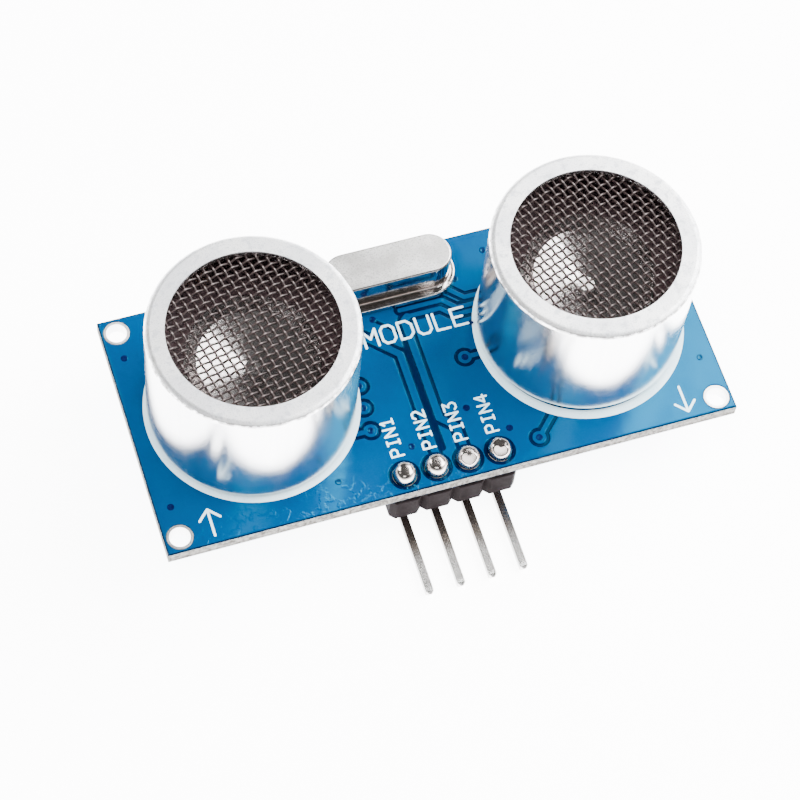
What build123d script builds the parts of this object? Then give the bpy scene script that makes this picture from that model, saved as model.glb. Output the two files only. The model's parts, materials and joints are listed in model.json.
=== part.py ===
"""Ultrasonic distance sensor: two open transducers, a quartz crystal and a pin header on a circuit board.

Frame: millimetres, +Z is the way the transducers face, +X runs along the board to the receiver and
+Y to the crystal's edge. The origin is the centre of the four corner holes, on the board's back.
"""

import math
import os

from build123d import *

os.makedirs("parts", exist_ok=True)

# ---- driving dimensions: circuit board ----
BOARD_LENGTH = 45.5
BOARD_WIDTH = 20.5
BOARD_T = 1.2
COPPER_T = 0.05
MASK_T = 0.04
INK_T = 0.02
CORE_BACK = MASK_T + COPPER_T
CORE_FRONT = BOARD_T - CORE_BACK
COPPER_FRONT = CORE_FRONT + COPPER_T
POUR_INSET = 0.15
CLEARANCE = 0.38
CORNER_SPACING = (43.0, 18.0)
CORNER_HOLE_R = 0.8
CORNER_RING_R = 1.0
PLATING_T = 0.05
VIA_R = 0.14
VIA_PAD_R = 0.5
VIA_PLUG_INSET = 0.12
MASK_GAP = 0.05

# ---- driving dimensions: pin header ----
PIN_COUNT = 4
PIN_PITCH = 2.54
PIN_SIZE = 0.64
PIN_ROW_Y = -8.75
PIN_HOLE_R = 0.5
PIN_PAD_R = 0.9
PIN_TOP = BOARD_T + 0.95
PIN_DROP = -4.6
PIN_TIP_Y = -16.4
PIN_BEND_R = 0.75
PIN_POINT = 0.2
JOINT_RISE = 0.9
HOUSING_H = 2.54
HOUSING_NOTCH = 0.4
HOUSING_SHIFT = (-0.2, -0.42)

# ---- driving dimensions: transducers ----
TRANSDUCER_X = 13.27
TRANSDUCER_Y = 0.2
CAN_R = 8.0
CAN_WALL = 0.4
CAN_TOP = BOARD_T + 12.0
CAN_BOTTOM = BOARD_T + 0.55
CAN_OPENING_R = 6.46
CAN_LIP_T = 0.5
CAN_TOP_ROUND = 0.45
CAN_FOOT_ROUND = 0.25
SCREEN_T = 0.3
SCREEN_R = CAN_R - CAN_WALL
SCREEN_PITCH = (0.655, 0.548)
SCREEN_WIRE = 0.2
SCREEN_TURN = {"transmitter": 13, "receiver": 110}
SCREEN_BORDER = 0.7
BASE_FOOT_R = 7.3
BASE_FOOT_TOP = CAN_BOTTOM + 0.2
BASE_TOP = BOARD_T + 2.4
PEDESTAL_TOP = BOARD_T + 4.8
PEDESTAL_R = (3.3, 4.6)
PEDESTAL_SLOT = 1.2
ADHESIVE_R = (3.4, 4.5)
ADHESIVE_T = 0.7
DISC_R = 5.15
DISC_T = 0.3
PIEZO_R = 3.0
CONE_RIM_R = 5.0
CONE_RIM_RISE = 2.2
CONE_DISH_R = 4.4
CONE_DISH_RISE = 1.3
CONE_T = 0.2
CONE_FOOT_R = 0.8
TERMINAL_R = 0.35
TERMINAL_HOLE_R = 0.45
TERMINAL_PAD_R = 1.1
TERMINAL_REACH = 5.0
TERMINAL_TOP = BASE_TOP + 0.6
TERMINAL_TIP = -1.5
TERMINAL_POINT = 0.12
WIRE_R = 0.12
WIRE_BEND_R = 0.4
WIRE_Z = BASE_TOP + 1.6
WIRE_LANDING_R = 2.2

# ---- driving dimensions: crystal ----
CRYSTAL_X = -0.1
CRYSTAL_Y = 7.62
CRYSTAL_FLANGE = (11.1, 4.75)
CRYSTAL_CAN = (10.2, 3.42)
CRYSTAL_TOP = BOARD_T + 3.2
CRYSTAL_BASE_T = 0.35
CRYSTAL_FLANGE_T = 0.3
CRYSTAL_WALL = 0.25
CRYSTAL_ROUND = 0.15
CRYSTAL_FLARE_R = 0.13
CRYSTAL_BASE_ROUND = 0.12
CRYSTAL_LEAD_X = 2.44
CRYSTAL_LEAD_R = 0.215
CRYSTAL_SEAL_R = 0.5
CRYSTAL_HOLE_R = 0.35
CRYSTAL_PAD_R = 0.75
CRYSTAL_LEAD_TIP = -0.85
BLANK_Z = BOARD_T + 1.9
BLANK_SIZE = (7.8, 1.8)
BLANK_T = 0.2
CLIP_SIZE = (0.8, 1.6)
CLIP_T = 0.4

# ---- driving dimensions: parts soldered to the back ----
CHIP_WIDTH = 3.9
CHIP_STANDOFF = 0.1
CHIP_T = 1.45
CHIP_CHAMFER = 0.3
CHIP_END_GAP = 0.25
CHIP_MARK = (0.9, 1.0)
CHIP_MARK_R = 0.35
CHIP_MARK_DEPTH = 0.08
LEAD_PITCH = 1.27
LEAD_SPAN = 6.0
LEAD_WIDTH = 0.4
LEAD_T = 0.2
PASSIVE_LENGTH = 1.6
PASSIVE_WIDTH = 0.8
CAP_LENGTH = 0.3
RESISTOR_T = 0.45
CAPACITOR_T = 0.8
TRANSISTOR_LENGTH = 2.9
TRANSISTOR_HALF_WIDTH = 0.65
TRANSISTOR_T = 1.0
TRANSISTOR_CHAMFER = 0.15
TRANSISTOR_LEAD_X = 0.95
TRANSISTOR_REACH = 1.25

pin_places = [((i - (PIN_COUNT - 1) / 2) * PIN_PITCH, PIN_ROW_Y) for i in range(PIN_COUNT)]
housing_places = [(x + HOUSING_SHIFT[0], y + HOUSING_SHIFT[1]) for x, y in pin_places]
corner_places = [
    (sx * CORNER_SPACING[0] / 2, sy * CORNER_SPACING[1] / 2) for sx in (-1, 1) for sy in (-1, 1)
]
transducer_places = {
    "transmitter": (-TRANSDUCER_X, TRANSDUCER_Y),
    "receiver": (TRANSDUCER_X, TRANSDUCER_Y),
}
terminal_places = [
    (x, y + side * TERMINAL_REACH) for x, y in transducer_places.values() for side in (-1, 1)
]
crystal_lead_places = [(CRYSTAL_X + side * CRYSTAL_LEAD_X, CRYSTAL_Y) for side in (-1, 1)]

# Plated holes: places, hole radius, pad radius and the copper area's distance from the pad.
plated_holes = [
    (corner_places, CORNER_HOLE_R, CORNER_RING_R, MASK_GAP + MASK_T),
    (pin_places, PIN_HOLE_R, PIN_PAD_R, CLEARANCE),
    (terminal_places, TERMINAL_HOLE_R, TERMINAL_PAD_R, CLEARANCE),
    (crystal_lead_places, CRYSTAL_HOLE_R, CRYSTAL_PAD_R, CLEARANCE),
]

# Vias that stand alone in a ring of bare laminate, and vias inside the copper area.
ringed_vias = [(-5.15, -4.45), (-5.1, -2.45), (-4.85, -0.55), (3.8, -0.35), (7.1, -8.55)]
plain_vias = [
    (-21.5, 6.7),
    (-21.5, -6.45),
    (-8.8, -7.9),
    (-2.55, -6.6),
    (2.5, -4.6),
    (5.15, -7.15),
    (-2.1, 4.75),
    (5.3, 2.4),
    (5.2, 6.5),
    (21.5, 6.7),
    (21.5, -5.4),
    (8.2, 8.4),
    (-8.4, 8.6),
]
via_places = ringed_vias + plain_vias

# Front tracks: (width, points along the middle).
front_tracks = [
    (0.48, [(-1.27, PIN_ROW_Y), (-0.97, -7.6), (-0.97, 1.27), (-4.9, 5.2)]),
    (0.5, [(1.27, PIN_ROW_Y), (1.27, -5.87), (0.25, -4.85), (0.25, 4.0), (0.6, 4.3)]),
    (0.3, [(0.6, 4.3), (3.3, 4.3), (4.15, 3.45), (6.4, 3.45)]),
    (0.3, [(0.2, 4.98), (3.65, 4.98), (4.6, 4.02), (6.6, 4.02)]),
    (0.3, [(4.3, 5.9), (5.45, 4.75), (7.2, 4.75)]),
    (0.3, [(7.1, -8.55), (9.3, -6.35)]),
    (0.3, [(-5.15, -4.45), (-7.3, -4.45)]),
    (0.3, [(-5.1, -2.45), (-7.3, -2.45)]),
    (0.3, [(-4.85, -0.55), (-7.3, -0.55)]),
    (0.3, [(3.8, -0.35), (6.0, -0.35)]),
]
# Strips of bare laminate with no track in them.
front_bare_strips = [
    (0.72, [(-0.36, -7.3), (-0.36, 1.6)]),
    (0.4, [(-0.36, 1.6), (-0.36, 3.0), (-1.9, 4.55)]),
]

# Chips on the back: lead count, centre.
chips = {
    "driver_chip": (16, (-TRANSDUCER_X, TRANSDUCER_Y)),
    "controller_chip": (14, (0.0, 0.0)),
    "amplifier_chip": (14, (TRANSDUCER_X, TRANSDUCER_Y)),
}
# Chip resistors and capacitors: centre and turn in degrees.
resistor_places = [
    (-19.6, -4.2, 90),
    (-19.6, 4.6, 90),
    (-8.0, -6.2, 0),
    (-8.0, 5.6, 0),
    (-6.9, -3.6, 90),
    (-6.9, 0.0, 90),
    (-6.9, 3.0, 90),
    (6.9, -3.6, 90),
    (6.9, 0.0, 90),
    (6.9, 3.0, 90),
    (8.0, -6.2, 0),
    (8.0, 5.6, 0),
    (19.6, -4.2, 90),
    (19.6, 4.6, 90),
]
capacitor_places = [
    (-17.4, 7.6, 0),
    (-17.4, -7.6, 0),
    (-9.2, 7.8, 0),
    (9.2, 7.8, 0),
    (17.4, 7.6, 0),
    (17.4, -7.6, 0),
    (-3.6, 5.4, 0),
    (3.2, 5.4, 0),
]
transistor_place = (-8.9, -8.4)

# Back tracks: (width, points along the middle).
back_tracks = [
    (0.3, [(-1.27, PIN_ROW_Y), (-1.27, -5.2), (-1.27, -2.7)]),
    (0.3, [(1.27, PIN_ROW_Y), (1.27, -5.2), (1.27, -2.7)]),
    (0.5, [(-3.81, PIN_ROW_Y), (-3.81, -2.7)]),
    (0.3, [(-6.9, -4.3), (-6.9, -5.2), (-5.15, -4.45)]),
    (0.3, [(-6.9, -2.9), (-6.9, -2.45), (-5.1, -2.45)]),
    (0.3, [(-6.9, -0.75), (-4.85, -0.55)]),
    (0.3, [(-2.64, 7.8), (-2.54, 6.6), (-2.54, 2.7)]),
    (0.3, [(2.24, 7.8), (1.27, 6.6), (1.27, 2.7)]),
    (0.3, [(3.8, -0.35), (5.3, -0.35), (6.9, -0.75)]),
    (0.3, [(-13.27, 5.2), (-11.0, 5.2), (-8.8, 3.6), (-8.8, 2.9)]),
    (0.3, [(-13.27, -4.8), (-10.1, -4.8), (-10.1, -2.5)]),
    (0.3, [(13.27, 5.2), (15.8, 5.2), (17.08, 4.0), (17.08, 2.9)]),
    (0.3, [(13.27, -4.8), (10.7, -4.8), (9.46, -3.6), (9.46, -2.5)]),
    (0.3, [(8.7, 5.6), (10.73, 4.4), (10.73, 2.9)]),
    (0.3, [(8.7, -6.2), (10.9, -6.2), (12.0, -7.6), (16.7, -7.6)]),
    (0.3, [(7.1, -8.55), (7.1, -7.2), (7.3, -6.2)]),
]

# ---- printed legend: round-ended strokes on a unit cell ----
GLYPHS = {
    "D": [[(0, 0), (0, 1), (0.65, 1), (1, 0.75), (1, 0.25), (0.65, 0), (0, 0)]],
    "E": [[(1, 1), (0, 1), (0, 0), (1, 0)], [(0, 0.5), (0.75, 0.5)]],
    "I": [[(0.5, 0), (0.5, 1)], [(0.2, 0), (0.8, 0)], [(0.2, 1), (0.8, 1)]],
    "L": [[(0, 1), (0, 0), (1, 0)]],
    "M": [[(0, 0), (0, 1), (0.5, 0.45), (1, 1), (1, 0)]],
    "N": [[(0, 0), (0, 1), (1, 0), (1, 1)]],
    "O": [[(0.25, 0), (0, 0.2), (0, 0.8), (0.25, 1), (0.75, 1), (1, 0.8), (1, 0.2), (0.75, 0), (0.25, 0)]],
    "P": [[(0, 0), (0, 1), (0.75, 1), (1, 0.8), (1, 0.6), (0.75, 0.45), (0, 0.45)]],
    "U": [[(0, 1), (0, 0.2), (0.25, 0), (0.75, 0), (1, 0.2), (1, 1)]],
    "1": [[(0.2, 0.75), (0.55, 1), (0.55, 0)], [(0.2, 0), (0.9, 0)]],
    "2": [[(0, 0.8), (0.25, 1), (0.75, 1), (1, 0.8), (1, 0.6), (0, 0), (1, 0)]],
    "3": [[(0, 1), (1, 1), (0.45, 0.6), (0.8, 0.55), (1, 0.35), (1, 0.2), (0.75, 0), (0.25, 0), (0, 0.15)]],
    "4": [[(0.75, 0), (0.75, 1), (0, 0.3), (1, 0.3)]],
}
ARROW_HEIGHT = 2.2
ARROW_BARB = 0.8
ARROW_X = 18.95
ARROW_Y = -8.5
TITLE = "MODULE"
TITLE_START = (-3.3, 2.45)
TITLE_CELL = (1.05, 1.5)
TITLE_ADVANCE = 1.45
PIN_LABEL_START_Y = -7.1
PIN_LABEL_CELL = (0.6, 0.95)
PIN_LABEL_ADVANCE = 0.88
LEGEND_STROKE = 0.2
LABEL_STROKE = 0.16
# The printed rings sit a little off the cans that stand on them.
LEGEND_RING_R = (7.6, 8.33)
LEGEND_RING_SHIFT = {"transmitter": (0.06, 0.0), "receiver": (0.0, -0.2)}
OUTLINE_T = 0.15
OUTLINE_MARGIN = 0.25


def draw_strokes(width, points, mode=Mode.ADD):
    """Add a round-ended stroke along the points to the sketch being built."""
    for start, end in zip(points, points[1:]):
        run = Vector(*end) - Vector(*start)
        with Locations((Vector(*start) + Vector(*end)) / 2):
            SlotCenterToCenter(run.length, width, rotation=math.degrees(math.atan2(run.Y, run.X)), mode=mode)


def draw_text(text, start, cell, advance, stroke, turned=False):
    """Draw text as strokes; turned text reads upwards, with its letters' tops to the left."""
    for index, letter in enumerate(text):
        for line in GLYPHS[letter]:
            flat = [(index * advance + u * cell[0], v * cell[1]) for u, v in line]
            if turned:
                flat = [(-v, u) for u, v in flat]
            draw_strokes(stroke, [(start[0] + u, start[1] + v) for u, v in flat])


def draw_arrow(x, y, heading):
    """Draw a plain arrow that points up (heading 1) or down (heading -1)."""
    tip = y + heading * ARROW_HEIGHT / 2
    draw_strokes(LEGEND_STROKE, [(x, y - heading * ARROW_HEIGHT / 2), (x, tip)])
    barb = tip - heading * ARROW_BARB
    draw_strokes(LEGEND_STROKE, [(x - ARROW_BARB, barb), (x, tip), (x + ARROW_BARB, barb)])


def write(builder, name):
    """Label a finished piece and write it as its own STEP file."""
    builder.part.label = name
    export_step(builder.part, f"parts/{name}.step")


def section_plane(x, y):
    """Return the upright plane through (x, y) whose sketch axes are +X and +Z."""
    return Plane(origin=(x, y, 0), x_dir=(1, 0, 0), z_dir=(0, -1, 0))


def across_plane(x, y, side):
    """Return the upright plane through (x, y) whose sketch axes are +Y (or -Y for side -1) and +Z."""
    return Plane(origin=(x, y, 0), x_dir=(0, side, 0), z_dir=(side, 0, 0))


def lead_row(count):
    """Return the places along a chip of the leads of one side."""
    per_side = count // 2
    return [(i - (per_side - 1) / 2) * LEAD_PITCH for i in range(per_side)]


# ---- places of the solder lands on the back: (x, y, turn), with local +X away from the part ----
lead_lands = []
for count, (chip_x, chip_y) in chips.values():
    for offset in lead_row(count):
        lead_lands += [(chip_x + offset, chip_y, 90), (chip_x + offset, chip_y, -90)]
passive_lands = []
for x, y, turn in resistor_places + capacitor_places:
    passive_lands += [(x, y, turn), (x, y, turn + 180)]
transistor_lands = [
    (transistor_place[0] - TRANSISTOR_LEAD_X, transistor_place[1], -90),
    (transistor_place[0] + TRANSISTOR_LEAD_X, transistor_place[1], -90),
    (transistor_place[0], transistor_place[1], 90),
]
LEAD_LAND = (2.35, 3.45, 0.6)
PASSIVE_LAND = (0.55, 1.25, 0.9)
TRANSISTOR_LAND = (0.85, 1.6, 0.7)
land_groups = [(lead_lands, LEAD_LAND), (passive_lands, PASSIVE_LAND), (transistor_lands, TRANSISTOR_LAND)]


def draw_lands(grow=0.0, mode=Mode.ADD):
    """Add every surface-mount land to the sketch being built, grown by a margin."""
    for places, (inner, outer, width) in land_groups:
        middle = (inner + outer) / 2
        for x, y, turn in places:
            with Locations(Location((x, y, 0), (0, 0, turn)) * Location((middle, 0, 0))):
                Rectangle(outer - inner + 2 * grow, width + 2 * grow, mode=mode)


def draw_discs(places, radius, mode=Mode.ADD):
    """Add a disc at each place to the sketch being built."""
    with Locations(*places):
        Circle(radius, mode=mode)


def draw_openings():
    """Cut the mask's round openings, around every pad and hole, from the sketch being built."""
    for places, _, pad_r, _ in plated_holes:
        draw_discs(places, pad_r + MASK_GAP, Mode.SUBTRACT)


def draw_front_copper(grow=0.0):
    """Draw the front copper area, its clearances and its tracks, grown by a margin."""
    Rectangle(BOARD_LENGTH - 2 * (POUR_INSET - grow), BOARD_WIDTH - 2 * (POUR_INSET - grow))
    gap = CLEARANCE - grow
    for width, points in front_tracks:
        draw_strokes(width + 2 * gap, points, Mode.SUBTRACT)
    for width, points in front_bare_strips:
        draw_strokes(width - 2 * grow, points, Mode.SUBTRACT)
    draw_discs(ringed_vias, VIA_PAD_R + gap, Mode.SUBTRACT)
    for width, points in front_tracks:
        draw_strokes(width + 2 * grow, points)
    draw_discs(ringed_vias, VIA_PAD_R + grow)
    for places, _, pad_r, distance in plated_holes:
        draw_discs(places, pad_r + distance - grow, Mode.SUBTRACT)
    draw_discs(via_places, VIA_R + PLATING_T, Mode.SUBTRACT)


def draw_back_copper(grow=0.0):
    """Draw the back copper area, its clearances, tracks and lands, grown by a margin."""
    Rectangle(BOARD_LENGTH - 2 * (POUR_INSET - grow), BOARD_WIDTH - 2 * (POUR_INSET - grow))
    gap = CLEARANCE - grow
    for width, points in back_tracks:
        draw_strokes(width + 2 * gap, points, Mode.SUBTRACT)
    draw_discs(ringed_vias, VIA_PAD_R + gap, Mode.SUBTRACT)
    draw_lands(gap, Mode.SUBTRACT)
    for width, points in back_tracks:
        draw_strokes(width + 2 * grow, points)
    draw_discs(ringed_vias, VIA_PAD_R + grow)
    for places, _, pad_r, distance in plated_holes:
        draw_discs(places, pad_r + distance - grow, Mode.SUBTRACT)
    draw_discs(via_places, VIA_R + PLATING_T, Mode.SUBTRACT)
    draw_lands()


# ---- circuit board ----
with BuildPart() as board_core:
    with BuildSketch(Plane.XY.offset(CORE_BACK)):
        Rectangle(BOARD_LENGTH, BOARD_WIDTH)
        for places, hole_r, _, _ in plated_holes:
            draw_discs(places, hole_r + PLATING_T, Mode.SUBTRACT)
        draw_discs(via_places, VIA_R + PLATING_T, Mode.SUBTRACT)
    extrude(amount=CORE_FRONT - CORE_BACK)
write(board_core, "board_core")

with BuildSketch() as front_copper_artwork:
    draw_front_copper()
with BuildSketch() as front_raised_artwork:
    draw_front_copper(MASK_T)
with BuildSketch() as back_copper_artwork:
    draw_back_copper()
with BuildSketch() as back_raised_artwork:
    draw_back_copper(MASK_T)

with BuildPart() as front_copper:
    with BuildSketch(Plane.XY.offset(CORE_FRONT)):
        add(front_copper_artwork.sketch)
    extrude(amount=COPPER_T)
write(front_copper, "front_copper")

with BuildPart() as back_copper:
    with BuildSketch(Plane.XY.offset(MASK_T)):
        add(back_copper_artwork.sketch)
    extrude(amount=COPPER_T)
write(back_copper, "back_copper")

# The mask is one film: low over the bare laminate, high over the copper.
with BuildPart() as front_solder_mask:
    with BuildSketch(Plane.XY.offset(CORE_FRONT)):
        Rectangle(BOARD_LENGTH, BOARD_WIDTH)
        draw_openings()
        draw_discs(via_places, VIA_R, Mode.SUBTRACT)
    extrude(amount=MASK_T)
    with BuildSketch(Plane.XY.offset(CORE_FRONT)):
        add(front_raised_artwork.sketch)
        draw_discs(via_places, VIA_R + 2 * PLATING_T)
        draw_discs(via_places, VIA_R, Mode.SUBTRACT)
    extrude(amount=CORE_BACK)
    add(front_copper.part, mode=Mode.SUBTRACT)
    with BuildSketch(Plane.XY.offset(CORE_FRONT)):
        draw_discs(via_places, VIA_R + PLATING_T)
    extrude(amount=COPPER_T, mode=Mode.SUBTRACT)
write(front_solder_mask, "front_solder_mask")

with BuildPart() as back_solder_mask:
    with BuildSketch(Plane.XY.offset(COPPER_T)):
        Rectangle(BOARD_LENGTH, BOARD_WIDTH)
        draw_openings()
        draw_lands(MASK_GAP, Mode.SUBTRACT)
        draw_discs(via_places, VIA_R, Mode.SUBTRACT)
    extrude(amount=MASK_T)
    with BuildSketch(Plane.XY):
        add(back_raised_artwork.sketch)
        draw_lands(MASK_GAP, Mode.SUBTRACT)
        draw_discs(via_places, VIA_R + 2 * PLATING_T)
        draw_discs(via_places, VIA_R, Mode.SUBTRACT)
    extrude(amount=CORE_BACK)
    add(back_copper.part, mode=Mode.SUBTRACT)
    with BuildSketch(Plane.XY.offset(MASK_T)):
        draw_discs(via_places, VIA_R + PLATING_T)
    extrude(amount=COPPER_T, mode=Mode.SUBTRACT)
write(back_solder_mask, "back_solder_mask")

with BuildPart() as hole_plating:
    for places, hole_r, pad_r, _ in plated_holes:
        ring_height = CORE_BACK if places is corner_places else COPPER_T
        for face_z, height in ((CORE_FRONT, ring_height), (CORE_BACK, -ring_height)):
            with BuildSketch(Plane.XY.offset(face_z)):
                draw_discs(places, pad_r)
                draw_discs(places, hole_r, Mode.SUBTRACT)
            extrude(amount=height)
        with BuildSketch(Plane.XY.offset(CORE_BACK)):
            draw_discs(places, hole_r + PLATING_T)
            draw_discs(places, hole_r, Mode.SUBTRACT)
        extrude(amount=CORE_FRONT - CORE_BACK)
    with BuildSketch(Plane.XY.offset(MASK_T)):
        draw_discs(via_places, VIA_R + PLATING_T)
        draw_discs(via_places, VIA_R, Mode.SUBTRACT)
    extrude(amount=COPPER_FRONT - MASK_T)
write(hole_plating, "hole_plating")

with BuildPart() as via_plugs:
    with BuildSketch(Plane.XY.offset(VIA_PLUG_INSET)):
        draw_discs(via_places, VIA_R)
    extrude(amount=BOARD_T - 2 * VIA_PLUG_INSET)
write(via_plugs, "via_plugs")

# ---- printed legends ----
with BuildSketch() as front_legend_artwork:
    for name, place in transducer_places.items():
        with Locations(Vector(*place) + Vector(*LEGEND_RING_SHIFT[name])):
            Circle(LEGEND_RING_R[1])
            Circle(LEGEND_RING_R[0], mode=Mode.SUBTRACT)
    draw_text(TITLE, TITLE_START, TITLE_CELL, TITLE_ADVANCE, LEGEND_STROKE)
    for number, (x, _) in enumerate(pin_places, start=1):
        start = (x + PIN_LABEL_CELL[1] / 2, PIN_LABEL_START_Y)
        draw_text(f"PIN{number}", start, PIN_LABEL_CELL, PIN_LABEL_ADVANCE, LABEL_STROKE, turned=True)
    draw_arrow(-ARROW_X, ARROW_Y, 1)
    draw_arrow(ARROW_X, ARROW_Y, -1)
    draw_discs(via_places, VIA_R, Mode.SUBTRACT)

with BuildPart() as front_legend:
    with BuildSketch(Plane.XY.offset(BOARD_T)):
        add(front_legend_artwork.sketch)
    extrude(amount=INK_T)
    with BuildSketch(Plane.XY.offset(CORE_FRONT + MASK_T)):
        add(front_legend_artwork.sketch)
        add(front_raised_artwork.sketch, mode=Mode.SUBTRACT)
        draw_discs(via_places, VIA_R + 2 * PLATING_T, Mode.SUBTRACT)
    extrude(amount=CORE_BACK - MASK_T)
write(front_legend, "front_legend")

with BuildSketch() as back_legend_artwork:
    for count, (x, y) in chips.values():
        with Locations((x, y)):
            outline = (count // 2 * LEAD_PITCH - OUTLINE_T, CHIP_WIDTH - 2 * OUTLINE_T)
            Rectangle(*outline)
            Rectangle(*[size - 2 * OUTLINE_T for size in outline], mode=Mode.SUBTRACT)
        with Locations((x - count // 4 * LEAD_PITCH - 1.1, y - LEAD_SPAN / 2 + 0.2)):
            Circle(2 * OUTLINE_T)
    for x, y, turn in resistor_places + capacitor_places:
        with Locations(Location((x, y, 0), (0, 0, turn))):
            opening = (2 * PASSIVE_LAND[1] + OUTLINE_MARGIN, PASSIVE_LAND[2] + OUTLINE_MARGIN)
            Rectangle(*[size + 2 * OUTLINE_T for size in opening])
            Rectangle(*opening, mode=Mode.SUBTRACT)

with BuildPart() as back_legend:
    with BuildSketch(Plane.XY.offset(-INK_T)):
        add(back_legend_artwork.sketch)
    extrude(amount=INK_T)
    with BuildSketch(Plane.XY):
        add(back_legend_artwork.sketch)
        add(back_raised_artwork.sketch, mode=Mode.SUBTRACT)
        draw_lands(MASK_GAP, Mode.SUBTRACT)
    extrude(amount=COPPER_T)
write(back_legend, "back_legend")

# ---- pin header: housing flat on the back and a little off the pins, which bend to leave along -Y ----
with BuildPart() as header_housing:
    with BuildSketch(Plane.XY.offset(-HOUSING_H)):
        with Locations(*housing_places):
            Rectangle(PIN_PITCH, HOUSING_H)
        chamfer(vertices().group_by(Axis.X)[0] + vertices().group_by(Axis.X)[-1], HOUSING_NOTCH)
        between = [(x + PIN_PITCH / 2, y) for x, y in housing_places[:-1]]
        notch_side = HOUSING_NOTCH * math.sqrt(2)
        for side in (-1, 1):
            with Locations(*[(x, y + side * HOUSING_H / 2) for x, y in between]):
                Rectangle(notch_side, notch_side, rotation=45, mode=Mode.SUBTRACT)
        with Locations(*pin_places):
            Rectangle(PIN_SIZE, PIN_SIZE, mode=Mode.SUBTRACT)
    extrude(amount=HOUSING_H)
write(header_housing, "header_housing")

for number, (pin_x, _) in enumerate(pin_places, start=1):
    with BuildPart() as header_pin:
        with BuildSketch(across_plane(pin_x, 0, 1)):
            with BuildLine():
                for side in (-PIN_SIZE / 2, PIN_SIZE / 2):
                    FilletPolyline(
                        (PIN_ROW_Y + side, PIN_TOP),
                        (PIN_ROW_Y + side, PIN_DROP - side),
                        (PIN_TIP_Y, PIN_DROP - side),
                        radius=PIN_BEND_R + side,
                    )
                Line((PIN_ROW_Y - PIN_SIZE / 2, PIN_TOP), (PIN_ROW_Y + PIN_SIZE / 2, PIN_TOP))
                Line((PIN_TIP_Y, PIN_DROP - PIN_SIZE / 2), (PIN_TIP_Y, PIN_DROP + PIN_SIZE / 2))
            make_face()
        extrude(amount=PIN_SIZE / 2, both=True)
        ends = header_pin.faces().sort_by(Axis.Z)[-1].edges() + header_pin.faces().sort_by(Axis.Y)[0].edges()
        chamfer(ends, PIN_POINT)
    write(header_pin, f"header_pin_{number}")

with BuildPart() as header_solder:
    for x, y in pin_places:
        with BuildSketch(section_plane(x, y)):
            with BuildLine():
                dome_foot = (PIN_PAD_R, COPPER_FRONT)
                dome_top = (0, BOARD_T + JOINT_RISE)
                Polyline(dome_top, (0, MASK_T), (PIN_HOLE_R, MASK_T), (PIN_HOLE_R, COPPER_FRONT), dome_foot)
                Bezier(dome_foot, (PIN_PAD_R, BOARD_T + 0.75), (0.4, BOARD_T + JOINT_RISE), dome_top)
            make_face()
        revolve(axis=Axis((x, y, 0), (0, 0, 1)))
    with BuildSketch(Plane.XY):
        with Locations(*pin_places):
            Rectangle(PIN_SIZE, PIN_SIZE)
    extrude(amount=PIN_TOP, mode=Mode.SUBTRACT)
write(header_solder, "header_solder")

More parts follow.
